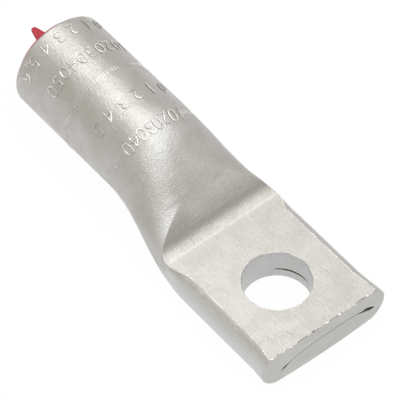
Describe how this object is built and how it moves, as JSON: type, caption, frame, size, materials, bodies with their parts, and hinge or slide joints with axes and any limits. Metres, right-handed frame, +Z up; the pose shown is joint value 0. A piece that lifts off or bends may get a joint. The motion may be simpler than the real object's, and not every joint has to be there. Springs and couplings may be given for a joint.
{
  "type": "aluminium cable lug",
  "caption": "Compression lug with a round bored barrel, a flattened tongue with a stud hole, and a plastic end cap with a pull fin in the barrel's mouth.",
  "frame": {"origin": "on the stud hole's axis, in the plane of the pad face under the tongue", "axes": "+X from the barrel to the tongue's tip, +Z up through the stud hole, off the pad face; the barrel's axis is parallel to X"},
  "size_m": [0.0957, 0.0312, 0.0223],
  "materials": {
    "tinned_aluminium": "satin tin plate over aluminium, brushed along the barrel, bare metal on the sawn tip and in the stud hole",
    "red_plastic": "moulded soft red polyethylene",
    "grey_paste": "smooth grey joint compound"
  },
  "bodies": {
    "lug": {"lug_body": "tinned_aluminium", "joint_compound": "grey_paste"},
    "cap": {"end_cap": "red_plastic"}
  },
  "joints": [
    {"name": "cap_pull", "type": "slide", "parent": "lug", "child": "cap", "axis": [-1, 0, 0], "range_m": [0, 0.04]}
  ]
}
